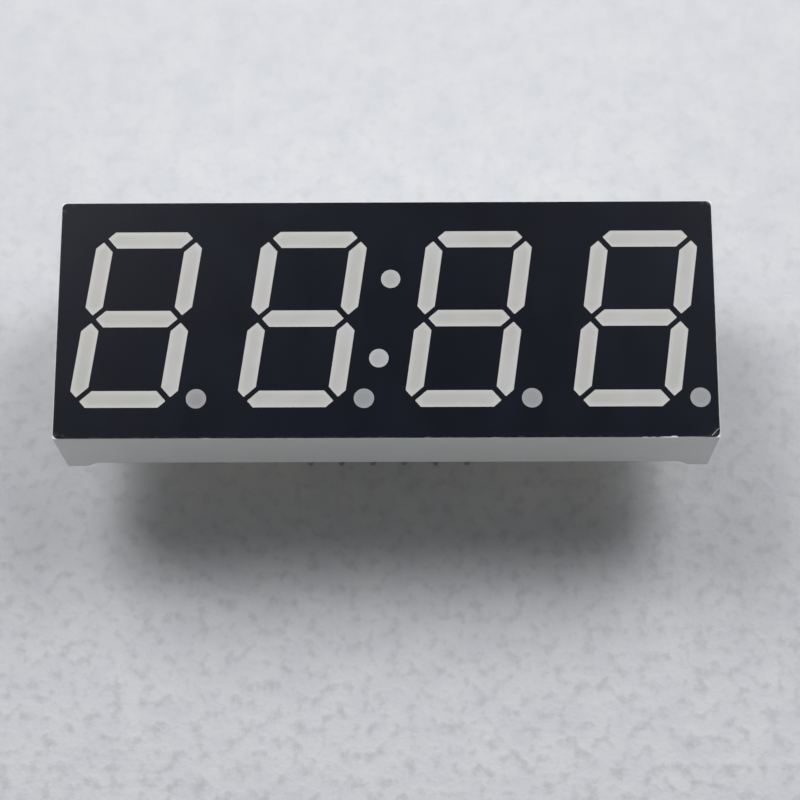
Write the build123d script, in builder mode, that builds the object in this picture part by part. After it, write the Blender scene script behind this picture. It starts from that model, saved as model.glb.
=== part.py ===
"""Four-digit seven segment display module with a colon, 0.56 inch digits.

Millimetres. The origin is at the centre of the pin pattern on the seating plane,
where the four corner feet touch a circuit board. +X runs along the module from the
first digit to the last, +Y points to the top of the digits, and +Z out of the face.
"""

from build123d import *
import os
from math import degrees, radians, tan, atan

os.makedirs("parts", exist_ok=True)

# ---- Driving dimensions -------------------------------------------------------------

# Housing
body_length = 50.3
body_width = 19.0
body_height = 8.0                 # seating plane to the front of the face
wall_thickness = 0.8
shell_corner_radius = 0.15        # upright corners of the housing
shell_edge_radius = 0.04          # round the front, beside the black layer
recess_corner_radius = 0.3
foot_height = 1.0                 # feet stand this far behind the walls' rear edge
foot_length = 1.6                 # flat sole of a foot, along either wall
foot_slope = 0.85                 # run of the slope beside the sole
foot_hollow_radius = 0.5          # where the slope turns into the wall's rear edge

# Black face layer
mask_thickness = 0.05
mask_margin = 0.05                # the housing shows this wide round the layer
mask_corner_radius = 0.43
mask_edge_radius = 0.03

# Wear on the black layer: nicks in its lower edge, as centre, half length and depth
edge_nicks = (
    (19.5, 0.28, 0.045),
    (20.1, 0.22, 0.04),
    (21.2, 0.68, 0.065),
    (21.67, 0.3, 0.125),
    (22.9, 1.25, 0.035),
    (8.3, 0.5, 0.025),
    (-13.6, 0.3, 0.03),
    (3.1, 0.22, 0.03),
)
scratch_centre = (24.77, -9.05)   # across the lower right corner
scratch_length = 0.8
scratch_width = 0.05
scratch_angle = 45.0

# Digits
digit_count = 4
digit_pitch = 12.7
slant_angle = 7.7                 # degrees
half_width = 4.085                # outline of a digit before it is slanted
half_height = 7.05
stroke = 1.33                     # width of a bar
bar_gap = 0.58                    # between mitred ends, measured along X or Y
window_corner_radius = 0.07

# Decimal points and colon
point_radius = 0.775
point_offset = (4.69, -6.35)      # from the digit's centre
colon_radius = 0.745
colon_places = ((0.35, 3.18), (-0.54, -3.18))

# Light cavities
window_depth = 0.5                # straight length behind the black layer
cavity_step = 0.04                # ledge where the tapered length starts
cavity_taper = 4.0                # degrees
resin_recess = 0.02               # the cast resin lies this far below the front

# Board and resin at the rear
board_front = 3.8                 # height of the board's front face
board_thickness = 1.0
board_clearance = 0.1             # all round, filled by the rear resin
potting_back = 2.2                # height of the rear resin's free surface

# Pins
pins_per_row = 6
pin_pitch = 2.54
row_spacing = 15.24
pin_radius = 0.25                 # of the tinned length
pin_bare_radius = 0.24            # inside the housing
pin_tin_line = 1.0                # height where the tin ends
pin_length = 6.5                  # beyond the seating plane
pin_tip_bevel = 0.07
pin_hole_radius = 0.35
solder_radius = 0.5
solder_tip_radius = 0.28
solder_height = 0.42

# Dice and bond wires
die_side = 0.26
die_height = 0.18
die_offset = 0.16                 # off the middle of its cavity
wire_radius = 0.015
wire_span = 0.4
wire_post = 0.08                  # straight end of the wire above the die

# ---- Worked-out places --------------------------------------------------------------

slant = tan(radians(slant_angle))
mask_back = body_height - mask_thickness
mask_length = body_length - 2 * mask_margin
mask_width = body_width - 2 * mask_margin
cavity_start = mask_back - window_depth
resin_front = body_height - resin_recess
board_back = board_front - board_thickness
recess_length = body_length - 2 * wall_thickness
recess_width = body_width - 2 * wall_thickness

bar_names = "abcdefg"
digit_centres = [(n - (digit_count - 1) / 2) * digit_pitch for n in range(digit_count)]
point_places = [(centre + point_offset[0], point_offset[1]) for centre in digit_centres]
dots = [(place, point_radius) for place in point_places]
dots += [(place, colon_radius) for place in colon_places]

# Pins are numbered round the module, from the lower left corner
pin_columns = [(n - (pins_per_row - 1) / 2) * pin_pitch for n in range(pins_per_row)]
pin_places = [(x, -row_spacing / 2) for x in pin_columns]
pin_places += [(x, row_spacing / 2) for x in reversed(pin_columns)]


def upright_bar(name):
    """Corners of one bar of an upright digit that is centred on the origin."""
    middle_line = half_width - stroke / 2
    inner = half_width - stroke
    half_gap = bar_gap / 2
    if name == "g":
        tip = middle_line - half_gap
        flat = tip - stroke / 2
        return [(-tip, 0), (-flat, stroke / 2), (flat, stroke / 2),
                (tip, 0), (flat, -stroke / 2), (-flat, -stroke / 2)]
    top_line = half_height - stroke / 2
    if name in "ad":
        side = 1 if name == "a" else -1
        tip = middle_line - half_gap / 2
        corners = ((-tip, top_line + half_gap / 2), (-inner, half_height),
                   (inner, half_height), (tip, top_line + half_gap / 2),
                   (inner - half_gap, half_height - stroke),
                   (half_gap - inner, half_height - stroke))
        return [(x * side, y * side) for x, y in corners]
    across = -1 if name in "ef" else 1
    upward = 1 if name in "bf" else -1
    corners = ((middle_line + half_gap / 2, top_line - half_gap / 2),
               (half_width, half_height - stroke),
               (half_width, half_gap + stroke / 2), (middle_line, half_gap),
               (inner, half_gap + stroke / 2),
               (inner, half_height - stroke - half_gap))
    return [(x * across, y * upward) for x, y in corners]


def bar_outline(name, centre):
    """Corners of one bar at its place on the face, leant over."""
    return [(centre + x + y * slant, y) for x, y in upright_bar(name)]


def cavity_frame(name, centre):
    """Where the die of a bar sits on the board, with X along the bar."""
    corners = bar_outline(name, centre)
    x = sum(corner[0] for corner in corners) / len(corners)
    y = sum(corner[1] for corner in corners) / len(corners)
    along = (1, 0, 0) if name in "adg" else (slant, 1, 0)
    return Plane(origin=(x, y, board_front), x_dir=along, z_dir=(0, 0, 1))


def draw_bars(names, centres, inset=0.0, corner_radius=0.0):
    """Draws the bars of the digits at these centres in the sketch that is open."""
    with BuildSketch(Plane.XY, mode=Mode.PRIVATE) as bars:
        for centre in centres:
            for name in names:
                Polygon(*bar_outline(name, centre), align=None)
        if corner_radius:
            fillet(bars.vertices(), corner_radius)
        if inset:
            offset(amount=-inset, kind=Kind.INTERSECTION)
    add(bars.sketch)


def draw_dots(dots, inset=0.0):
    """Draws round windows, each a place and a radius, in the sketch that is open."""
    for place, radius in dots:
        with Locations(place):
            Circle(radius - inset)


def draw_foot_gap(length):
    """Draws the gap between two feet, under a wall of this length."""
    sole_end = length / 2 - foot_length
    slope_end = sole_end - foot_slope
    with BuildSketch(Plane.XY, mode=Mode.PRIVATE) as gap:
        Polygon((-sole_end, 0), (-slope_end, foot_height),
                (slope_end, foot_height), (sole_end, 0), align=None)
        fillet(gap.vertices().group_by(Axis.Y)[-1], foot_hollow_radius)
    add(gap.sketch)


def finish(part, name):
    """Labels a piece and writes it out."""
    part.label = name
    export_step(part, f"parts/{name}.step")


# ---- Housing ------------------------------------------------------------------------

with BuildPart() as reflector_shell:
    with BuildSketch():
        Rectangle(body_length, body_width)
    extrude(amount=mask_back)
    fillet(reflector_shell.edges().filter_by(Axis.Z), shell_corner_radius)
    fillet(reflector_shell.faces().sort_by(Axis.Z)[-1].edges(), shell_edge_radius)

    # Recess for the board and the rear resin
    with BuildSketch():
        RectangleRounded(recess_length, recess_width, recess_corner_radius)
    extrude(amount=board_front, mode=Mode.SUBTRACT)

    # Four feet are left where the walls are cut away between the corners
    for wall_plane, wall_length in ((Plane.XZ, body_length), (Plane.YZ, body_width)):
        with BuildSketch(wall_plane):
            draw_foot_gap(wall_length)
        extrude(amount=body_length, both=True, mode=Mode.SUBTRACT)

    # Light cavities: a straight window at the front, then a funnel to the board
    with BuildSketch(Plane.XY.offset(mask_back)):
        draw_bars(bar_names, digit_centres, corner_radius=window_corner_radius)
        draw_dots(dots)
    extrude(amount=-window_depth, mode=Mode.SUBTRACT)
    with BuildSketch(Plane.XY.offset(cavity_start)):
        draw_bars(bar_names, digit_centres, inset=cavity_step)
        draw_dots(dots, inset=cavity_step)
    extrude(amount=board_front - cavity_start, taper=cavity_taper, mode=Mode.SUBTRACT)

finish(reflector_shell.part, "reflector_shell")

# ---- Black face layer ---------------------------------------------------------------

with BuildPart() as face_mask:
    with BuildSketch(Plane.XY.offset(mask_back)):
        RectangleRounded(mask_length, mask_width, mask_corner_radius)
    extrude(amount=mask_thickness)
    fillet(face_mask.faces().sort_by(Axis.Z)[-1].edges(), mask_edge_radius)
    with BuildSketch(Plane.XY.offset(mask_back)):
        draw_bars(bar_names, digit_centres, corner_radius=window_corner_radius)
        draw_dots(dots)
        for nick_x, nick_half_length, nick_depth in edge_nicks:
            with Locations((nick_x, -mask_width / 2)):
                Ellipse(nick_half_length, nick_depth)
        with Locations(Location(scratch_centre, scratch_angle)):
            Rectangle(scratch_length, scratch_width)
    extrude(amount=mask_thickness, mode=Mode.SUBTRACT)

finish(face_mask.part, "face_mask")

# ---- Dice and bond wires ------------------------------------------------------------

# One die on the board, and the wire that arches from its top down to the board
with BuildPart() as die:
    with BuildSketch(Plane.XY):
        with Locations((-die_offset, 0)):
            Rectangle(die_side, die_side)
    extrude(amount=die_height)

arch_foot = (-die_offset, die_height)
arch_spring = die_height + wire_post
with BuildPart() as bond_wire:
    with BuildLine(Plane.XZ) as wire_path:
        Line(arch_foot, (-die_offset, arch_spring))
        ThreePointArc((-die_offset, arch_spring),
                      (wire_span / 2 - die_offset, arch_spring + wire_span / 2),
                      (wire_span - die_offset, arch_spring))
        Line((wire_span - die_offset, arch_spring), (wire_span - die_offset, 0))
    with BuildSketch(Plane.XY.offset(die_height)):
        with Locations((-die_offset, 0)):
            Circle(wire_radius)
    sweep(path=wire_path.wires()[0])

colon_frames = [Plane(origin=(x, y, board_front)) for x, y in colon_places]
wire_frames = list(colon_frames)

for number, centre in enumerate(digit_centres, start=1):
    frames = [cavity_frame(name, centre) for name in bar_names]
    frames.append(Plane(origin=(*point_places[number - 1], board_front)))
    wire_frames += frames
    with BuildPart() as led_dice:
        with Locations(*frames):
            add(die.part)
    finish(led_dice.part, f"digit_{number}_led_dice")

with BuildPart() as led_dice:
    with Locations(*colon_frames):
        add(die.part)
finish(led_dice.part, "colon_led_dice")

with BuildPart() as bond_wires:
    with Locations(*wire_frames):
        add(bond_wire.part)
finish(bond_wires.part, "bond_wires")

# ---- Cast resin in the light cavities -----------------------------------------------

for number, centre in enumerate(digit_centres, start=1):
    for name in bar_names:
        with BuildPart() as bar:
            with BuildSketch(Plane.XY.offset(cavity_start)):
                draw_bars(name, [centre], corner_radius=window_corner_radius)
            extrude(amount=resin_front - cavity_start)
            with BuildSketch(Plane.XY.offset(cavity_start)):
                draw_bars(name, [centre], inset=cavity_step)
            extrude(amount=board_front - cavity_start, taper=cavity_taper)
            with Locations(cavity_frame(name, centre)):
                add(die.part, mode=Mode.SUBTRACT)
                add(bond_wire.part, mode=Mode.SUBTRACT)
        finish(bar.part, f"digit_{number}_segment_{name}")

dot_names = [f"digit_{n + 1}_point" for n in range(digit_count)]
dot_names += ["colon_upper", "colon_lower"]
for name, dot in zip(dot_names, dots):
    with BuildPart() as dot_resin:
        with BuildSketch(Plane.XY.offset(cavity_start)):
            draw_dots([dot])
        extrude(amount=resin_front - cavity_start)
        with BuildSketch(Plane.XY.offset(cavity_start)):
            draw_dots([dot], inset=cavity_step)
        extrude(amount=board_front - cavity_start, taper=cavity_taper)
        with Locations(Plane(origin=(*dot[0], board_front))):
            add(die.part, mode=Mode.SUBTRACT)
            add(bond_wire.part, mode=Mode.SUBTRACT)
    finish(dot_resin.part, name)

# ---- Board, pins, solder and rear resin ---------------------------------------------

with BuildPart() as circuit_board:
    with BuildSketch(Plane.XY.offset(board_back)):
        Rectangle(recess_length - 2 * board_clearance, recess_width - 2 * board_clearance)
        with Locations(*pin_places):
            Circle(pin_hole_radius, mode=Mode.SUBTRACT)
    extrude(amount=board_thickness)
finish(circuit_board.part, "circuit_board")

for number, place in enumerate(pin_places, start=1):
    with BuildPart() as pin:
        with BuildSketch(Plane.XY.offset(pin_tin_line)):
            with Locations(place):
                Circle(pin_radius)
        extrude(amount=-pin_tin_line - pin_length)
        chamfer(pin.edges().sort_by(Axis.Z)[0], pin_tip_bevel)
        with BuildSketch(Plane.XY.offset(pin_tin_line)):
            with Locations(place):
                Circle(pin_bare_radius)
        extrude(amount=board_front - pin_tin_line)
    finish(pin.part, f"pin_{number}")

solder_taper = degrees(atan((solder_radius - solder_tip_radius) / solder_height))
with BuildPart() as solder_joints:
    # Solder fills each hole round its pin and rises up the pin behind the board
    with BuildSketch(Plane.XY.offset(board_back)):
        with Locations(*pin_places):
            Circle(pin_hole_radius)
    extrude(amount=board_thickness)
    with BuildSketch(Plane.XY.offset(board_back)):
        with Locations(*pin_places):
            Circle(solder_radius)
    extrude(amount=-solder_height, taper=solder_taper)
    with BuildSketch(Plane.XY.offset(board_front)):
        with Locations(*pin_places):
            Circle(pin_bare_radius)
    extrude(amount=-board_front, mode=Mode.SUBTRACT)
finish(solder_joints.part, "solder_joints")

with BuildPart() as back_potting:
    with BuildSketch(Plane.XY.offset(potting_back)):
        RectangleRounded(recess_length, recess_width, recess_corner_radius)
        with Locations(*pin_places):
            Circle(pin_bare_radius, mode=Mode.SUBTRACT)
    extrude(amount=board_front - potting_back)
    add(circuit_board.part, mode=Mode.SUBTRACT)
    add(solder_joints.part, mode=Mode.SUBTRACT)
finish(back_potting.part, "back_potting")
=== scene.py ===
from math import cos, radians, sin, sqrt, tan

import bmesh
import bpy
from bpy.props import FloatProperty, FloatVectorProperty, PointerProperty
from mathutils import Matrix, Quaternion, Vector


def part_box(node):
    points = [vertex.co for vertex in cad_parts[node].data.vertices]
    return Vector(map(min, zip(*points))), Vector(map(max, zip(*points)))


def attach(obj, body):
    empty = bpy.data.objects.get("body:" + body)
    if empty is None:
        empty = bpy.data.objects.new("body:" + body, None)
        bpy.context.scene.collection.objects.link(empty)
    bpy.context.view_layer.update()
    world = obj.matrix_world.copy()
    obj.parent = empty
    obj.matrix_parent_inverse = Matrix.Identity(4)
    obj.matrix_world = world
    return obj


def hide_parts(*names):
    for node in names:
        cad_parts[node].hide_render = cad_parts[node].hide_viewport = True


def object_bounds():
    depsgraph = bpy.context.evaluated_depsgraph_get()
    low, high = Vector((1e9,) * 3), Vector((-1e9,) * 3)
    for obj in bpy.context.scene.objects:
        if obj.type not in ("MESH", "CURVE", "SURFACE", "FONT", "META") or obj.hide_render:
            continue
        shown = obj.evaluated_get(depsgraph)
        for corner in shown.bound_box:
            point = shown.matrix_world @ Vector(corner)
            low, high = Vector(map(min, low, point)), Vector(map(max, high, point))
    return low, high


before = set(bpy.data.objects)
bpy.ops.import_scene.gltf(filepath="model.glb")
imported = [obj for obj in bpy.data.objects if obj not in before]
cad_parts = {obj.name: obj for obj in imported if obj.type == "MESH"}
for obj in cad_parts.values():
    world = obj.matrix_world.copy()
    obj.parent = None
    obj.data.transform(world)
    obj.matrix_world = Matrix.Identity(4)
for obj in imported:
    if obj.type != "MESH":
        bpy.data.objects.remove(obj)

bl_info = {
    "name": "Seven Segment Display Finish",
    "version": (1, 0, 0),
    "blender": (4, 5, 0),
    "location": "3D View > Sidebar > Display",
    "description": "Finishes and sets the stage for a four-digit display module",
    "category": "Object",
}

MM = 0.001
BODY = "root"
CAD_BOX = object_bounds()

DIGITS = (1, 2, 3, 4)
BARS = "abcdefg"
PIN_NODES = [f"pin_{number}" for number in range(1, 13)]
BAR_NODES = [f"digit_{digit}_segment_{bar}" for digit in DIGITS for bar in BARS]
POINT_NODES = [f"digit_{digit}_point" for digit in DIGITS]
COLON_NODES = ["colon_upper", "colon_lower"]
DICE_NODES = [f"digit_{digit}_led_dice" for digit in DIGITS] + ["colon_led_dice"]

FACE_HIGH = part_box("face_mask")[1]
REAR_LOW, REAR_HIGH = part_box("back_potting")
BOARD_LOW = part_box("circuit_board")[0]
FLOOR_HEIGHT = CAD_BOX[0].z

# Shape of a digit, from its middle and along its own leaning axes
DIGIT_PITCH = 12.7 * MM
SLANT = tan(radians(7.7))
STROKE = 1.33 * MM
SIDE_LINE = 3.42 * MM             # middle line of the upright bars
UPRIGHT_MIDDLE = 3.265 * MM       # height of the middle of an upright bar
UPRIGHT_REACH = 2.975 * MM        # from there to its tips
LEVEL_LINES = {"ad": 6.385 * MM, "g": 0.0}
LEVEL_REACH = {"ad": 3.275 * MM, "g": 3.13 * MM}

# Middles of a decimal point, from its digit, and of the upper colon dot
POINT_PLACE = (4.69 * MM, -6.35 * MM)
COLON_MIDDLE = -0.095 * MM
COLON_PLACE = (0.445 * MM, 3.18 * MM)

# Wire pins
WIRE_SIDES = 40
TIP_SHARES = (0.35, 0.4, 0.25)    # of the swaged length, from the shank down
TIP_SHOULDER = 0.94               # width where the cut end starts to narrow
TIP_ROUNDING = 0.86               # narrowing in its last stretch
TIP_BEVEL = 0.006 * MM
SHARP_ANGLE = radians(35)
BURR_EDGE = 0.22                  # flat left round the burr, as a share of the radius
BURR_LEAN = (0.12, 0.05)          # of the burr's end, as shares of the radius
BURR_TAPER = (0.62, 0.4)
PIN_TURN = radians(77.0)          # from one pin to the next, so that no two look alike

# Rear resin
RESIN_CORNER = 0.3 * MM
RIM_STEPS = 6
COLLAR_SIDES = 36
COLLAR_STEPS = 6
COLLAR_ROOT = 0.05 * MM           # how far a collar starts inside the slab
COLLAR_TOP = 0.9                  # a collar ends inside its wire, at this share of the radius
COLLAR_CURVE = 1.8                # a larger power makes a collar hug its pin more closely

# Stage
BACKDROP = (0.60, 0.615, 0.65)
FLOOR_RADIUS = 2.5
GRAIN_FAINT, GRAIN_FULL = 0.030, -0.045   # places along Y where the floor's grain is so
FADE_START, FADE_END = 0.09, 0.45         # distances over which the floor becomes backdrop
HORIZON_DEPTH = 0.15              # how far below the horizon the ground light is in full
LAMP_SIDE = 0.20
LEFT_LAMP = (-0.165, 0.20, 0.285)
RIGHT_LAMP = (0.18, 0.19, 0.28)
SENSOR_WIDTH = 36.0
CAMERA_PLACE = Vector((2.86, -54.85, 166.25)) * MM        # from the middle of the face
CAMERA_DIP = radians(73.775)      # how steeply the camera looks down
CAMERA_HEADING = radians(-2.124)  # away from the short direction of the display
CAMERA_ROLL = radians(-2.213)

DOUBLES = 0.0005 * MM             # points closer than this are one point
UPRIGHT = 0.9                     # a face that looks straight up or down passes this
SMOOTH_ANGLE = radians(40)


# ---- Settings a user may change ------------------------------------------------------


class DisplayFinish(bpy.types.PropertyGroup):
    """Colours of the display's finishes"""

    housing: FloatVectorProperty(
        name="Housing", description="White moulded reflector housing",
        subtype="COLOR", size=3, min=0.0, max=1.0, default=(0.84, 0.845, 0.83))
    face: FloatVectorProperty(
        name="Face", description="Black printed layer on the front",
        subtype="COLOR", size=3, min=0.0, max=1.0, default=(0.0042, 0.0058, 0.0132))
    bars: FloatVectorProperty(
        name="Bars", description="Milky resin of the digit bars",
        subtype="COLOR", size=3, min=0.0, max=1.0, default=(0.515, 0.510, 0.495))
    points: FloatVectorProperty(
        name="Points", description="Milky resin of the decimal points",
        subtype="COLOR", size=3, min=0.0, max=1.0, default=(0.312, 0.316, 0.333))
    colon: FloatVectorProperty(
        name="Colon", description="Milky resin of the two colon dots",
        subtype="COLOR", size=3, min=0.0, max=1.0, default=(0.44, 0.443, 0.448))
    rear_resin: FloatVectorProperty(
        name="Rear resin", description="Cast resin that seals the back",
        subtype="COLOR", size=3, min=0.0, max=1.0, default=(0.56, 0.54, 0.45))
    wire: FloatVectorProperty(
        name="Tinned wire", description="Bright tin on the pins",
        subtype="COLOR", size=3, min=0.0, max=1.0, default=(0.80, 0.80, 0.79))


class PinShape(bpy.types.PropertyGroup):
    """Shape of the tinned length of the wire pins and of their cut ends"""

    tin_line: FloatProperty(
        name="Tin line", description="Height above the seating plane where the tin ends",
        unit="LENGTH", default=1.0 * MM)
    tin: FloatProperty(
        name="Tin", description="Thickness of the tin on the wire",
        unit="LENGTH", min=0.0, default=0.01 * MM)

    swage: FloatProperty(
        name="Swaged length", description="Length over which the cut end narrows",
        unit="LENGTH", min=0.0, default=0.11 * MM)
    narrowing: FloatProperty(
        name="Narrowing", description="Width of the cut end as a share of the wire",
        subtype="FACTOR", min=0.1, max=1.0, default=0.74)
    burr: FloatProperty(
        name="Burr", description="Height of the torn nib in the middle of the cut",
        unit="LENGTH", min=0.0, default=0.035 * MM)


class RearResinShape(bpy.types.PropertyGroup):
    """Shape of the free surface of the rear resin"""

    wall_creep: FloatProperty(
        name="Creep at walls", description="How far the resin climbs the walls",
        unit="LENGTH", min=0.0, default=0.14 * MM)
    wall_reach: FloatProperty(
        name="Reach at walls", description="Width of the curved rim along the walls",
        unit="LENGTH", min=0.0, default=0.45 * MM)
    pin_creep: FloatProperty(
        name="Creep at pins", description="How far the resin climbs each pin",
        unit="LENGTH", min=0.0, default=0.22 * MM)
    pin_reach: FloatProperty(
        name="Reach at pins", description="Width of the collar round each pin",
        unit="LENGTH", min=0.0, default=0.32 * MM)


class StageSettings(bpy.types.PropertyGroup):
    """Floor, lamps and camera"""

    floor: FloatVectorProperty(
        name="Floor", description="Pale floor",
        subtype="COLOR", size=3, min=0.0, max=1.0, default=(0.735, 0.745, 0.775))
    sky: FloatProperty(
        name="Room light", description="Strength of the even light from the room",
        min=0.0, default=0.125)
    ground: FloatProperty(
        name="Ground light", description="Strength of the light from below the horizon",
        min=0.0, default=0.45)
    left: FloatProperty(
        name="Left lamp", description="Power of the lamp behind the display on the left",
        subtype="POWER", min=0.0, default=0.86)
    right: FloatProperty(
        name="Right lamp", description="Power of the lamp behind the display on the right",
        subtype="POWER", min=0.0, default=0.79)
    lens: FloatProperty(
        name="Lens", description="Focal length of the camera",
        subtype="DISTANCE_CAMERA", min=1.0, default=103.2)


GROUPS = {
    "display_finish": DisplayFinish,
    "display_pins": PinShape,
    "display_rear_resin": RearResinShape,
    "display_stage": StageSettings,
}


# ---- Node helpers --------------------------------------------------------------------


class Finish:
    """A procedural material under construction, read in Object coordinates."""

    def __init__(self, name, colour, roughness, metallic=0.0):
        self.material = bpy.data.materials.new(name)
        self.material.use_nodes = True
        self.material.diffuse_color = (*colour, 1.0)
        self.tree = self.material.node_tree
        self.shader = self.tree.nodes["Principled BSDF"]
        self.set("Base Color", (*colour, 1.0))
        self.set("Roughness", roughness)
        self.set("Metallic", metallic)
        self.place = self.node("ShaderNodeTexCoord").outputs["Object"]

    def set(self, socket, value):
        """Sets a value that is the same all over the surface."""
        self.shader.inputs[socket].default_value = value

    def node(self, kind, inputs=None, **options):
        """Adds a node with its options and inputs; an input may be a socket."""
        made = self.tree.nodes.new(kind)
        for option, value in options.items():
            setattr(made, option, value)
        for key, value in (inputs or {}).items():
            if isinstance(value, bpy.types.NodeSocket):
                self.tree.links.new(value, made.inputs[key])
            else:
                made.inputs[key].default_value = value
        return made

    def stretched(self, scale):
        """Object coordinates scaled differently along each axis."""
        inputs = {"Vector": self.place, "Scale": scale}
        return self.node("ShaderNodeMapping", inputs).outputs["Vector"]

    def noise(self, size, detail=3.0, rough=0.55, place=None):
        """Noise whose patches are about this size, in metres."""
        inputs = {"Vector": place or self.place, "Scale": 1.0 / size,
                  "Detail": detail, "Roughness": rough}
        return self.node("ShaderNodeTexNoise", inputs).outputs["Fac"]

    def spots(self, size, place=None):
        """Distance to scattered points about this far apart."""
        inputs = {"Vector": place or self.place, "Scale": 1.0 / size}
        return self.node("ShaderNodeTexVoronoi", inputs).outputs["Distance"]

    def ramp(self, value, low, high, start=0.0, end=1.0, kind="LINEAR"):
        """Turns low..high of a value into start..end, and holds it there."""
        inputs = {"Value": value, "From Min": low, "From Max": high,
                  "To Min": start, "To Max": end}
        made = self.node("ShaderNodeMapRange", inputs, interpolation_type=kind)
        return made.outputs["Result"]

    def maths(self, operation, first, second=0.0):
        """One sum on two values."""
        inputs = {0: first, 1: second}
        return self.node("ShaderNodeMath", inputs, operation=operation).outputs["Value"]

    def axes(self):
        """Object X, Y and Z as three values."""
        split = self.node("ShaderNodeSeparateXYZ", {"Vector": self.place})
        return split.outputs["X"], split.outputs["Y"], split.outputs["Z"]

    def mix(self, share, first, second):
        """Blends two colours, each a socket or an RGB triple."""
        made = self.node("ShaderNodeMix", data_type="RGBA")
        self.tree.links.new(share, made.inputs["Factor"])
        for key, colour in (("A", first), ("B", second)):
            socket = next(s for s in made.inputs if s.name == key and s.type == "RGBA")
            if isinstance(colour, bpy.types.NodeSocket):
                self.tree.links.new(colour, socket)
            else:
                socket.default_value = (*colour, 1.0)
        return next(s for s in made.outputs if s.type == "RGBA")

    def drive(self, socket, value):
        """Links a value that varies over the surface to the shader."""
        self.tree.links.new(value, self.shader.inputs[socket])

    def bump(self, height, depth):
        """Adds relief of this depth, in metres, on top of what is there."""
        made = self.node("ShaderNodeBump", {"Height": height, "Distance": depth,
                                            "Strength": 1.0})
        below = self.shader.inputs["Normal"]
        if below.is_linked:
            self.tree.links.new(below.links[0].from_socket, made.inputs["Normal"])
        self.tree.links.new(made.outputs["Normal"], below)


def tinted(colour, factor, tint=(1.0, 1.0, 1.0)):
    """A colour made lighter or darker and tinted."""
    return tuple(min(1.0, c * factor * t) for c, t in zip(colour, tint))


def cover(names, material):
    """Gives CAD nodes a material in place of their own."""
    for name in names:
        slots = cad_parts[name].material_slots
        if not slots:
            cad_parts[name].data.materials.append(material)
        for slot in slots:
            slot.material = material


# ---- Mesh helpers --------------------------------------------------------------------


def deselect_all():
    """Leaves object mode with nothing selected."""
    if bpy.context.object and bpy.context.object.mode != "OBJECT":
        bpy.ops.object.mode_set(mode="OBJECT")
    bpy.ops.object.select_all(action="DESELECT")


def pick(piece):
    """Makes one piece the selected and active one."""
    deselect_all()
    piece.select_set(True)
    bpy.context.view_layer.objects.active = piece


def settle(piece):
    """Puts a piece's place into its mesh, with its object at the origin."""
    pick(piece)
    bpy.ops.object.transform_apply(location=True, rotation=True, scale=True)


def edit(piece):
    """Opens a piece for editing by faces, with nothing selected."""
    pick(piece)
    bpy.ops.object.mode_set(mode="EDIT")
    bpy.ops.mesh.select_mode(type="FACE")
    bpy.ops.mesh.select_all(action="DESELECT")


def select_faces(piece, test):
    """Selects the faces whose centre and normal pass the test."""
    shape = bmesh.from_edit_mesh(piece.data)
    for face in shape.faces:
        face.select_set(test(face.calc_center_median(), face.normal))
    bmesh.update_edit_mesh(piece.data)


def select_edges(piece, test):
    """Selects the edges whose two ends pass the test."""
    bpy.ops.mesh.select_mode(type="EDGE")
    shape = bmesh.from_edit_mesh(piece.data)
    for one in shape.edges:
        one.select_set(test(one.verts[0].co, one.verts[1].co))
    bmesh.update_edit_mesh(piece.data)


def close_edit():
    """Merges doubles, turns all faces outwards and leaves edit mode."""
    bpy.ops.mesh.select_all(action="SELECT")
    bpy.ops.mesh.remove_doubles(threshold=DOUBLES)
    bpy.ops.mesh.normals_make_consistent(inside=False)
    bpy.ops.object.mode_set(mode="OBJECT")


def apply_modifier(piece, kind, **options):
    """Adds a modifier with these options and applies it."""
    pick(piece)
    modifier = piece.modifiers.new(kind.title(), kind)
    for option, value in options.items():
        setattr(modifier, option, value)
    bpy.ops.object.modifier_apply(modifier=modifier.name)


def ground_point(node):
    """The middle of a node, at the height of the seating plane."""
    low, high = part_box(node)
    return Vector(((low.x + high.x) / 2, (low.y + high.y) / 2, 0.0))


def hand_over(piece, name, material, slot, *nodes):
    """Names a finished piece, gives it its material and puts it on the frame."""
    piece.name = name
    piece.data.name = name
    piece.data.materials.clear()
    piece.data.materials.append(material)
    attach(piece, BODY)
    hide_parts(*nodes)


# ---- Finishes ------------------------------------------------------------------------


def housing_finish(colour):
    """White moulded plastic with a fine matt skin."""
    made = Finish("white_moulding", colour, 0.42)
    clouds = made.noise(4.0 * MM, detail=4.0)
    grime = made.noise(0.7 * MM, detail=5.0, rough=0.65)
    shade = made.mix(made.ramp(clouds, 0.3, 0.7),
                     tinted(colour, 0.975, (1.0, 0.998, 0.985)),
                     tinted(colour, 1.015, (0.998, 1.0, 1.0)))
    height = made.axes()[2]
    near_feet = made.ramp(height, 2.4 * MM, 0.0, 0.0, 0.6)
    dirt = made.maths("MULTIPLY", made.ramp(grime, 0.5, 0.72), near_feet)
    made.drive("Base Color", made.mix(dirt, shade, tinted(colour, 0.8, (1.0, 0.98, 0.93))))
    made.drive("Roughness", made.ramp(made.noise(1.6 * MM), 0.3, 0.7, 0.36, 0.48))
    made.bump(made.noise(0.055 * MM, detail=2.0), 0.0016 * MM)
    made.bump(made.noise(6.0 * MM, detail=1.0), 0.004 * MM)
    return made.material


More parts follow.
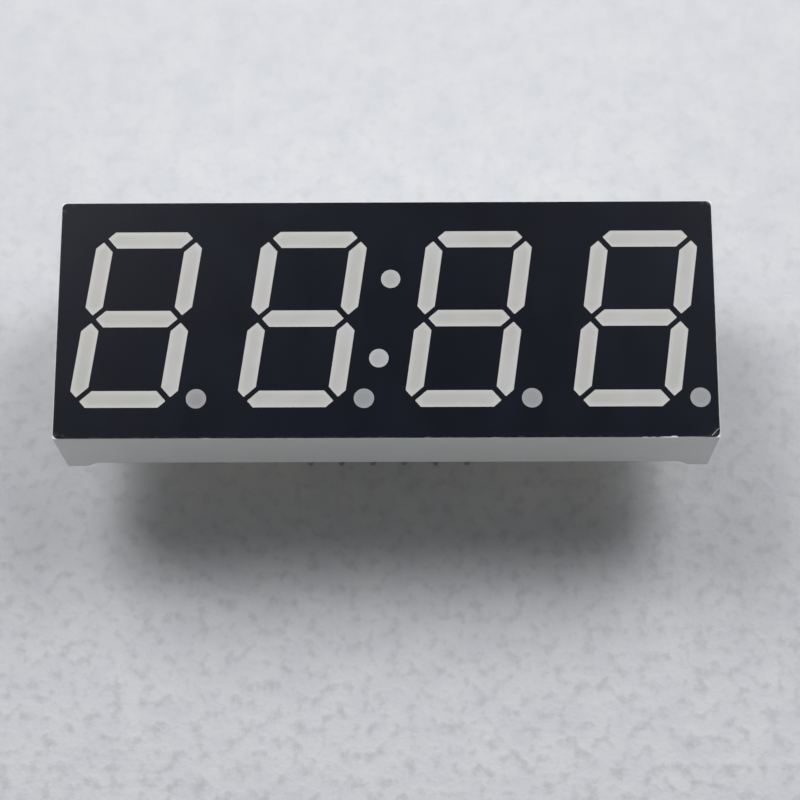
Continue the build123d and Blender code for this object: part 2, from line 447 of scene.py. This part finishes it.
def face_finish(colour):
    """Satin black ink, a little rubbed along its edges."""
    made = Finish("black_ink", colour, 0.4)
    made.set("Specular IOR Level", 0.15)
    across, along, _ = made.axes()
    gap_x = made.maths("SUBTRACT", FACE_HIGH.x, made.maths("ABSOLUTE", across))
    gap_y = made.maths("SUBTRACT", FACE_HIGH.y, made.maths("ABSOLUTE", along))
    rim = made.maths("MINIMUM", gap_x, gap_y)
    corner = made.maths("MAXIMUM", gap_x, gap_y)
    clouds = made.noise(5.0 * MM, detail=3.0)
    ink = made.mix(made.ramp(clouds, 0.35, 0.65),
                   tinted(colour, 0.88, (1.0, 1.0, 0.94)), tinted(colour, 1.15))
    streaks = made.noise(0.5 * MM, detail=4.0, rough=0.6)
    rubbed = made.maths("MULTIPLY", made.ramp(rim, 0.14 * MM, 0.02 * MM),
                        made.ramp(streaks, 0.46, 0.62))
    at_corner = made.maths("MULTIPLY", made.ramp(corner, 1.0 * MM, 0.35 * MM, 0.0, 1.0),
                           made.ramp(rim, 0.5 * MM, 0.1 * MM))
    worn = made.maths("MAXIMUM", made.maths("MULTIPLY", rubbed, 0.45),
                      made.maths("MULTIPLY", at_corner, made.ramp(streaks, 0.5, 0.66)))
    made.drive("Base Color", made.mix(worn, ink, (0.10, 0.105, 0.11)))
    smear = made.noise(2.6 * MM, detail=1.0, place=made.stretched((1.0, 0.45, 1.0)))
    made.drive("Roughness", made.ramp(smear, 0.2, 0.8, 0.28, 0.33))
    made.bump(made.noise(0.07 * MM, detail=2.0), 0.0012 * MM)
    made.bump(made.noise(3.0 * MM, detail=2.0), 0.006 * MM)
    return made.material


def from_digit(made):
    """X and Y from the middle of the nearest digit."""
    across, along, _ = made.axes()
    shifted = made.maths("ADD", across, 2 * DIGIT_PITCH)
    wrapped = made.maths("FLOORED_MODULO", shifted, DIGIT_PITCH)
    return made.maths("SUBTRACT", wrapped, DIGIT_PITCH / 2), along


def apart(made, first, second):
    """How far apart two values are."""
    return made.maths("ABSOLUTE", made.maths("SUBTRACT", first, second))


def depth_in_bar(made, bars):
    """Distance inwards from the edge of a bar of this kind."""
    across, along = from_digit(made)
    side = apart(made, across, made.maths("MULTIPLY", along, SLANT))
    height = made.maths("ABSOLUTE", along)
    if bars in LEVEL_LINES:
        off_line = apart(made, height, LEVEL_LINES[bars])
        run, reach = side, LEVEL_REACH[bars]
    else:
        off_line = apart(made, side, SIDE_LINE)
        run, reach = apart(made, height, UPRIGHT_MIDDLE), UPRIGHT_REACH
    from_side = made.maths("SUBTRACT", STROKE / 2, off_line)
    from_tip = made.maths("SUBTRACT", reach, made.maths("ADD", run, off_line))
    return made.maths("MINIMUM", from_side, made.maths("MULTIPLY", from_tip, sqrt(0.5)))


def depth_in_dot(made, across, along, radius):
    """Distance inwards from the edge of a dot, given X and Y from its middle."""
    square = made.maths("ADD", made.maths("MULTIPLY", across, across),
                        made.maths("MULTIPLY", along, along))
    return made.maths("SUBTRACT", radius, made.maths("SQRT", square))


def depth_in_point(made):
    """Distance inwards from the edge of a decimal point."""
    low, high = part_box(POINT_NODES[0])
    across, along = from_digit(made)
    return depth_in_dot(made, made.maths("SUBTRACT", across, POINT_PLACE[0]),
                        made.maths("SUBTRACT", along, POINT_PLACE[1]), (high.y - low.y) / 2)


def depth_in_colon(made):
    """Distance inwards from the edge of either colon dot."""
    low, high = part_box(COLON_NODES[0])
    across, along, _ = made.axes()
    half = made.maths("SIGN", along)
    aside = made.maths("MULTIPLY", made.maths("SUBTRACT", across, COLON_MIDDLE), half)
    return depth_in_dot(made, made.maths("SUBTRACT", aside, COLON_PLACE[0]),
                        made.maths("SUBTRACT", made.maths("ABSOLUTE", along), COLON_PLACE[1]),
                        (high.y - low.y) / 2)


def resin_finish(name, colour, seed, find_depth, *shape):
    """Milky cast resin with soft cloudy tints and a painted glow near its edges, standing in
    for light scattered from the white walls.
    """
    made = Finish(name, colour, 0.34)
    moved = made.node("ShaderNodeMapping", {"Vector": made.place,
                                            "Location": (seed, seed * 0.7, 0.0)})
    place = moved.outputs["Vector"]
    tint = made.mix(made.ramp(made.noise(2.6 * MM, detail=2.0, place=place), 0.38, 0.62),
                    tinted(colour, 0.94, (0.975, 1.015, 0.975)),
                    tinted(colour, 0.97, (1.02, 0.985, 1.0)))
    shade = made.mix(made.ramp(made.noise(5.5 * MM, detail=2.0, place=place), 0.38, 0.62),
                     tint, tinted(colour, 1.04, (0.98, 1.0, 1.025)))
    depth = find_depth(made, *shape)
    # Painted glow: the colour is made lighter within about half a millimetre of the resin's
    # edge, standing in for light scattered from the white walls.
    pale = made.ramp(depth, -0.05 * MM, 0.5 * MM, 1.0, 0.0, kind="SMOOTHSTEP")
    lit = made.mix(pale, shade, tinted(colour, 1.16, (1.005, 1.0, 1.0)))
    fleck = made.ramp(made.noise(0.16 * MM, detail=3.0, place=place), 0.62, 0.74, 0.0, 0.18)
    made.drive("Base Color", made.mix(fleck, lit, tinted(colour, 0.84)))
    made.drive("Roughness", made.ramp(made.noise(0.9 * MM), 0.3, 0.7, 0.28, 0.42))
    made.bump(made.noise(0.12 * MM, detail=3.0), 0.0012 * MM)
    made.bump(made.noise(1.3 * MM, detail=1.0), 0.008 * MM)
    return made.material


def wire_finish(colour):
    """Bright tin on drawn wire, dull and dark where the wire is cut."""
    made = Finish("tinned_wire", colour, 0.2, metallic=1.0)
    _, _, height = made.axes()
    drawn = made.noise(0.06 * MM, detail=4.0, place=made.stretched((1.0, 1.0, 0.06)))
    pits = made.noise(0.09 * MM, detail=5.0, rough=0.7)
    tin = made.mix(made.ramp(drawn, 0.35, 0.65), tinted(colour, 0.86, (1.0, 0.99, 0.97)),
                   colour)
    spotted = made.mix(made.ramp(pits, 0.6, 0.72, 0.0, 0.55), tin, tinted(colour, 0.42))
    ragged = made.maths("ADD", height, made.ramp(pits, 0.0, 1.0, -0.04 * MM, 0.04 * MM))
    cut = made.ramp(ragged, FLOOR_HEIGHT + 0.09 * MM, FLOOR_HEIGHT + 0.05 * MM)
    made.drive("Base Color", made.mix(cut, spotted, (0.16, 0.145, 0.125)))
    rough = made.ramp(pits, 0.35, 0.7, 0.16, 0.34)
    made.drive("Roughness", made.maths("MAXIMUM", rough, made.maths("MULTIPLY", cut, 0.55)))
    made.bump(drawn, 0.0025 * MM)
    made.bump(pits, 0.003 * MM)
    return made.material


def rear_resin_finish(colour):
    """Clear-set cream resin with a glossy free surface."""
    made = Finish("rear_resin", colour, 0.2)
    clouds = made.noise(5.0 * MM, detail=4.0)
    bubbles = made.spots(1.5 * MM)
    base = made.mix(made.ramp(clouds, 0.35, 0.65), tinted(colour, 0.85, (1.0, 0.97, 0.9)),
                    tinted(colour, 1.08))
    made.drive("Base Color", made.mix(made.ramp(bubbles, 0.1, 0.06, 0.0, 0.5), base,
                                      tinted(colour, 0.6)))
    made.drive("Roughness", made.ramp(made.noise(2.0 * MM), 0.3, 0.7, 0.14, 0.3))
    made.bump(made.noise(2.8 * MM, detail=1.0), 0.03 * MM)
    made.bump(made.ramp(bubbles, 0.12, 0.04), 0.012 * MM)
    return made.material


def board_finish():
    """Green laminate with its glass weave showing faintly."""
    colour = (0.05, 0.16, 0.055)
    made = Finish("board_laminate", colour, 0.5)
    weave = made.node("ShaderNodeTexWave", {"Vector": made.place, "Scale": 0.35 / MM},
                      bands_direction="DIAGONAL").outputs["Fac"]
    made.drive("Base Color", made.mix(made.ramp(weave, 0.2, 0.8), tinted(colour, 0.85),
                                      tinted(colour, 1.2)))
    made.bump(weave, 0.004 * MM)
    return made.material


def inner_metal_finish(name, colour, roughness, grain):
    """Metal of the small inner parts: bond wires and solder."""
    made = Finish(name, colour, roughness, metallic=1.0)
    flow = made.noise(grain, detail=3.0)
    made.drive("Base Color", made.mix(made.ramp(flow, 0.35, 0.65), tinted(colour, 0.85),
                                      tinted(colour, 1.05)))
    made.bump(flow, grain * 0.02)
    return made.material


def die_finish():
    """Sawn crystal of the light emitting dice."""
    colour = (0.30, 0.27, 0.20)
    made = Finish("led_crystal", colour, 0.3)
    facets = made.spots(0.09 * MM)
    made.drive("Base Color", made.mix(made.ramp(facets, 0.1, 0.6), tinted(colour, 0.7),
                                      tinted(colour, 1.25)))
    made.bump(facets, 0.002 * MM)
    return made.material


# ---- Operators, one for each piece or group of like pieces ---------------------------


class DISPLAY_OT_housing(bpy.types.Operator):
    """Finish the white reflector housing"""

    bl_idname = "display.housing"
    bl_label = "Housing"

    def execute(self, context):
        cover(["reflector_shell"], housing_finish(tuple(context.scene.display_finish.housing)))
        return {"FINISHED"}


class DISPLAY_OT_face(bpy.types.Operator):
    """Finish the black printed face"""

    bl_idname = "display.face"
    bl_label = "Face"

    def execute(self, context):
        cover(["face_mask"], face_finish(tuple(context.scene.display_finish.face)))
        return {"FINISHED"}


class DISPLAY_OT_windows(bpy.types.Operator):
    """Finish the resin of the bars, the decimal points and the colon"""

    bl_idname = "display.windows"
    bl_label = "Bars and Dots"

    def execute(self, context):
        finish = context.scene.display_finish
        for bars, look in (("ad", "outer"), ("g", "middle"), ("bcef", "upright")):
            nodes = [node for node in BAR_NODES if node[-1] in bars]
            cover(nodes, resin_finish(f"bar_resin_{look}", tuple(finish.bars), 0.0,
                                      depth_in_bar, bars))
        cover(POINT_NODES, resin_finish("point_resin", tuple(finish.points), 0.031,
                                        depth_in_point))
        cover(COLON_NODES, resin_finish("colon_resin", tuple(finish.colon), 0.057,
                                        depth_in_colon))
        return {"FINISHED"}


class DISPLAY_OT_pins(bpy.types.Operator):
    """Model the tinned wire pins with their sheared ends"""

    bl_idname = "display.pins"
    bl_label = "Wire Pins"

    def model(self, shape):
        """One pin, in the place of the first one."""
        low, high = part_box(PIN_NODES[0])
        radius = (high.x - low.x) / 2
        shank_end = low.z + shape.swage + shape.burr
        deselect_all()
        bpy.ops.mesh.primitive_cylinder_add(
            vertices=WIRE_SIDES, radius=radius, depth=shape.tin_line - shank_end,
            location=((low.x + high.x) / 2, (low.y + high.y) / 2,
                      (shape.tin_line + shank_end) / 2))
        pin = bpy.context.object
        settle(pin)
        edit(pin)
        select_faces(pin, lambda centre, normal: normal.z > UPRIGHT)
        bpy.ops.mesh.inset(thickness=shape.tin, depth=0.0)
        bpy.ops.mesh.extrude_region_move(
            TRANSFORM_OT_translate={"value": (0.0, 0.0, high.z - shape.tin_line)})
        select_faces(pin, lambda centre, normal: normal.z < -UPRIGHT)
        narrowings = (TIP_SHOULDER, shape.narrowing / TIP_SHOULDER, TIP_ROUNDING)
        for share, narrowing in zip(TIP_SHARES, narrowings):
            bpy.ops.mesh.extrude_region_move(
                TRANSFORM_OT_translate={"value": (0.0, 0.0, -shape.swage * share)})
            bpy.ops.transform.resize(value=(narrowing, narrowing, 1.0))
        bpy.ops.mesh.inset(thickness=radius * BURR_EDGE, depth=0.0)
        lean_x, lean_y = BURR_LEAN
        bpy.ops.mesh.extrude_region_move(
            TRANSFORM_OT_translate={"value": (radius * lean_x, radius * lean_y, -shape.burr)})
        bpy.ops.transform.resize(value=(*BURR_TAPER, 1.0))
        close_edit()
        apply_modifier(pin, "BEVEL", width=TIP_BEVEL, segments=2,
                       limit_method="ANGLE", angle_limit=SHARP_ANGLE)
        pick(pin)
        bpy.ops.object.shade_smooth_by_angle(angle=SMOOTH_ANGLE)
        return pin

    def execute(self, context):
        settings = context.scene
        material = wire_finish(tuple(settings.display_finish.wire))
        first = self.model(settings.display_pins)
        start = ground_point(PIN_NODES[0])
        pins = [first]
        for number, node in enumerate(PIN_NODES[1:], start=1):
            copy = bpy.data.objects.new(node, first.data.copy())
            context.collection.objects.link(copy)
            turn = Matrix.Rotation(PIN_TURN * number, 4, "Z")
            place = Matrix.Translation(ground_point(node))
            copy.data.transform(place @ turn @ Matrix.Translation(-start))
            pins.append(copy)
        for node, pin in zip(PIN_NODES, pins):
            hand_over(pin, f"wire_{node}", material, "tinned_wire", node)
        return {"FINISHED"}


class DISPLAY_OT_rear_resin(bpy.types.Operator):
    """Model the rear resin, which climbs the walls and the pins a little"""

    bl_idname = "display.rear_resin"
    bl_label = "Rear Resin"

    def collar(self, shape, place, radius):
        """A ring of resin that has crept up one pin."""
        reach = radius + shape.pin_reach
        deselect_all()
        bpy.ops.mesh.primitive_circle_add(
            vertices=COLLAR_SIDES, radius=reach, fill_type="NGON",
            location=(place.x, place.y, REAR_LOW.z + COLLAR_ROOT))
        ring = bpy.context.object
        settle(ring)
        edit(ring)
        bpy.ops.mesh.select_all(action="SELECT")
        drop = (COLLAR_ROOT + shape.pin_creep) / COLLAR_STEPS
        for step in range(1, COLLAR_STEPS + 1):
            share = step / COLLAR_STEPS
            width = radius * COLLAR_TOP + shape.pin_reach * (1.0 - share) ** COLLAR_CURVE
            bpy.ops.mesh.extrude_region_move(
                TRANSFORM_OT_translate={"value": (0.0, 0.0, -drop)})
            bpy.ops.transform.resize(value=(width / reach, width / reach, 1.0))
            reach = width
        close_edit()
        return ring

    def wires(self, tin):
        """The bare wires, which leave their holes in the resin."""
        deselect_all()
        made = []
        for node in PIN_NODES:
            low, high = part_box(node)
            bpy.ops.mesh.primitive_cylinder_add(
                vertices=WIRE_SIDES, radius=(high.x - low.x) / 2 - tin, depth=high.z - low.z,
                location=(low + high) / 2)
            made.append(bpy.context.object)
        for wire in made:
            wire.select_set(True)
        bpy.ops.object.join()
        wires = bpy.context.object
        settle(wires)
        return wires

    def slab(self, shape):
        """The layer between the board and the open back, with a raised rim."""
        centre = (REAR_LOW + REAR_HIGH) / 2
        size = REAR_HIGH - REAR_LOW
        low = REAR_LOW.z - shape.wall_creep
        deselect_all()
        bpy.ops.mesh.primitive_cube_add(
            size=1.0, location=(centre.x, centre.y, (low + BOARD_LOW.z) / 2),
            scale=(size.x, size.y, BOARD_LOW.z - low))
        slab = bpy.context.object
        settle(slab)
        edit(slab)
        select_edges(slab, lambda a, b: abs(a.z - b.z) > 0.1 * MM)
        bpy.ops.mesh.bevel(offset=RESIN_CORNER, segments=6, affect="EDGES")
        bpy.ops.mesh.select_mode(type="FACE")
        select_faces(slab, lambda centre, normal: normal.z < -UPRIGHT)
        edge = size
        for step in range(1, RIM_STEPS + 1):
            fall = (1.0 - (step - 1) / RIM_STEPS) ** 2 - (1.0 - step / RIM_STEPS) ** 2
            reach = 2 * shape.wall_reach * step / RIM_STEPS
            bpy.ops.mesh.extrude_region_move(
                TRANSFORM_OT_translate={"value": (0.0, 0.0, shape.wall_creep * fall)})
            bpy.ops.transform.resize(
                value=((size.x - reach) / edge.x, (size.y - reach) / edge.y, 1.0),
                center_override=centre)
            edge = Vector((size.x - reach, size.y - reach, 0.0))
        self.divide()
        close_edit()
        return slab

    def divide(self):
        """Cuts the slab's faces along the pin rows and columns, for clean holes."""
        middles = [sum(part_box(node), Vector()) / 2 for node in PIN_NODES]
        cuts = {(round(place.x / MM, 3), (1.0, 0.0, 0.0)) for place in middles}
        cuts |= {(round(place.y / MM, 3), (0.0, 1.0, 0.0)) for place in middles}
        for distance, across in sorted(cuts):
            bpy.ops.mesh.select_all(action="SELECT")
            bpy.ops.mesh.bisect(plane_co=Vector(across) * distance * MM, plane_no=across)

    def execute(self, context):
        settings = context.scene
        shape = settings.display_rear_resin
        slab = self.slab(shape)
        collars = []
        for node in PIN_NODES:
            low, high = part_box(node)
            collars.append(self.collar(shape, (low + high) / 2, (high.x - low.x) / 2))
        pick(collars[0])
        for ring in collars[1:]:
            ring.select_set(True)
        bpy.ops.object.join()
        tool = bpy.context.object
        apply_modifier(slab, "BOOLEAN", operation="UNION", object=tool, solver="EXACT")
        bpy.data.objects.remove(tool)
        wires = self.wires(settings.display_pins.tin)
        apply_modifier(slab, "BOOLEAN", operation="DIFFERENCE", object=wires, solver="EXACT")
        bpy.data.objects.remove(wires)
        pick(slab)
        bpy.ops.object.shade_smooth_by_angle(angle=SMOOTH_ANGLE)
        material = rear_resin_finish(tuple(settings.display_finish.rear_resin))
        hand_over(slab, "rear_resin_cast", material, "rear_resin", "back_potting")
        return {"FINISHED"}


class DISPLAY_OT_inside(bpy.types.Operator):
    """Finish the board, the dice, the bond wires and the solder"""

    bl_idname = "display.inside"
    bl_label = "Inner Parts"

    def execute(self, context):
        cover(["circuit_board"], board_finish())
        cover(DICE_NODES, die_finish())
        cover(["bond_wires"],
              inner_metal_finish("bond_wire_gold", (0.9, 0.62, 0.24), 0.25, 0.05 * MM))
        cover(["solder_joints"],
              inner_metal_finish("solder", (0.66, 0.66, 0.65), 0.3, 0.2 * MM))
        return {"FINISHED"}


class DISPLAY_OT_stage(bpy.types.Operator):
    """Set the floor, the lamps, the room light and the camera"""

    bl_idname = "display.stage"
    bl_label = "Stage"

    def floor(self, colour):
        """A wide pale sheet under the pins."""
        deselect_all()
        bpy.ops.mesh.primitive_circle_add(vertices=96, radius=FLOOR_RADIUS, fill_type="NGON",
                                          location=(0.0, 0.0, FLOOR_HEIGHT))
        floor = bpy.context.object
        floor.name = "floor"
        made = Finish("pale_floor", colour, 0.85)
        made.set("Specular IOR Level", 0.15)
        fibres = made.noise(1.1 * MM, detail=3.0, rough=0.5)
        patches = made.noise(3.0 * MM, detail=3.0)
        coarse = made.ramp(made.axes()[1], GRAIN_FAINT, GRAIN_FULL, 0.15, 1.0)
        soft = made.mix(made.ramp(patches, 0.35, 0.65), tinted(colour, 0.95, (0.99, 1.0, 1.02)),
                        tinted(colour, 1.01))
        flecks = made.maths("MULTIPLY", made.ramp(fibres, 0.5, 0.72), coarse)
        made.drive("Base Color", made.mix(flecks, soft, tinted(colour, 0.76)))
        made.bump(made.maths("MULTIPLY", fibres, coarse), 0.12 * MM)
        self.fade(made)
        floor.data.materials.append(made.material)

    def fade(self, made):
        """Lets the far floor pass into the pale backdrop, for the camera alone."""
        far = made.node("ShaderNodeVectorMath", {"Vector": made.place}, operation="LENGTH")
        share = made.ramp(far.outputs["Value"], FADE_START, FADE_END, kind="SMOOTHSTEP")
        seen = made.node("ShaderNodeLightPath").outputs["Is Camera Ray"]
        glow = made.node("ShaderNodeEmission", {"Color": (*BACKDROP, 1.0), "Strength": 1.0})
        blend = made.node("ShaderNodeMixShader", {
            "Fac": made.maths("MULTIPLY", share, seen),
            1: made.shader.outputs["BSDF"], 2: glow.outputs["Emission"]})
        ending = made.tree.nodes["Material Output"]
        made.tree.links.new(blend.outputs["Shader"], ending.inputs["Surface"])

    def lamp(self, name, place, power):
        """A square soft box turned towards the display."""
        light = bpy.data.lights.new(name, "AREA")
        light.shape = "SQUARE"
        light.size = LAMP_SIDE
        light.energy = power
        lamp = bpy.data.objects.new(name, light)
        lamp.location = place
        lamp.rotation_mode = "QUATERNION"
        lamp.rotation_quaternion = Vector(place).to_track_quat("Z", "Y")
        lamp.visible_camera = False
        bpy.context.collection.objects.link(lamp)

    def room(self, strength, below):
        """Even light from the room, and from the ground where no floor hides it."""
        world = bpy.data.worlds.new("room")
        world.use_nodes = True
        tree = world.node_tree
        back = tree.nodes["Background"]
        back.inputs["Strength"].default_value = 1.0
        path = tree.nodes.new("ShaderNodeLightPath")
        mix = tree.nodes.new("ShaderNodeMix")
        mix.data_type = "RGBA"
        lit, seen = [s for s in mix.inputs if s.type == "RGBA"]
        way = tree.nodes.new("ShaderNodeSeparateXYZ")
        tree.links.new(tree.nodes.new("ShaderNodeTexCoord").outputs["Generated"],
                       way.inputs["Vector"])
        level = tree.nodes.new("ShaderNodeMapRange")
        level.inputs["From Min"].default_value = -HORIZON_DEPTH
        level.inputs["From Max"].default_value = 0.0
        level.inputs["To Min"].default_value = below
        level.inputs["To Max"].default_value = strength
        tree.links.new(way.outputs["Z"], level.inputs["Value"])
        tree.links.new(level.outputs["Result"], lit)
        seen.default_value = (*BACKDROP, 1.0)
        tree.links.new(path.outputs["Is Camera Ray"], mix.inputs["Factor"])
        colour = next(s for s in mix.outputs if s.type == "RGBA")
        tree.links.new(colour, back.inputs["Color"])
        bpy.context.scene.world = world

    def camera(self, lens):
        """A camera above the lower long side, turned a little."""
        forward = Vector((sin(CAMERA_HEADING) * cos(CAMERA_DIP),
                          cos(CAMERA_HEADING) * cos(CAMERA_DIP), -sin(CAMERA_DIP)))
        data = bpy.data.cameras.new("camera")
        data.lens = lens
        data.sensor_width = SENSOR_WIDTH
        data.clip_start = 0.01
        data.clip_end = 10.0
        camera = bpy.data.objects.new("camera", data)
        camera.location = CAMERA_PLACE + Vector((0.0, 0.0, FACE_HIGH.z))
        camera.rotation_mode = "QUATERNION"
        level = forward.to_track_quat("-Z", "Y")
        camera.rotation_quaternion = level @ Quaternion((0.0, 0.0, 1.0), CAMERA_ROLL)
        bpy.context.collection.objects.link(camera)
        bpy.context.scene.camera = camera

    def execute(self, context):
        stage = context.scene.display_stage
        self.floor(tuple(stage.floor))
        self.lamp("left_lamp", LEFT_LAMP, stage.left)
        self.lamp("right_lamp", RIGHT_LAMP, stage.right)
        self.room(stage.sky, stage.ground)
        self.camera(stage.lens)
        context.scene.view_settings.view_transform = "Standard"
        return {"FINISHED"}


class DISPLAY_PT_panel(bpy.types.Panel):
    """Lists the steps that finish the display"""

    bl_idname = "DISPLAY_PT_panel"
    bl_label = "Seven Segment Display"
    bl_space_type = "VIEW_3D"
    bl_region_type = "UI"
    bl_category = "Display"

    def draw(self, context):
        for step in STEPS:
            self.layout.operator(step.bl_idname)
        for group in GROUPS:
            box = self.layout.box()
            settings = getattr(context.scene, group)
            for name in settings.__annotations__:
                box.prop(settings, name)


STEPS = (
    DISPLAY_OT_housing,
    DISPLAY_OT_face,
    DISPLAY_OT_windows,
    DISPLAY_OT_pins,
    DISPLAY_OT_rear_resin,
    DISPLAY_OT_inside,
    DISPLAY_OT_stage,
)
CLASSES = (*GROUPS.values(), *STEPS, DISPLAY_PT_panel)


def register():
    for kind in CLASSES:
        bpy.utils.register_class(kind)
    for name, group in GROUPS.items():
        setattr(bpy.types.Scene, name, PointerProperty(type=group))


def unregister():
    for name in GROUPS:
        delattr(bpy.types.Scene, name)
    for kind in reversed(CLASSES):
        bpy.utils.unregister_class(kind)


def main():
    register()
    bpy.ops.display.housing()
    bpy.ops.display.face()
    bpy.ops.display.windows()
    bpy.ops.display.pins()
    bpy.ops.display.rear_resin()
    bpy.ops.display.inside()
    bpy.ops.display.stage()


if __name__ == "__main__":
    main()
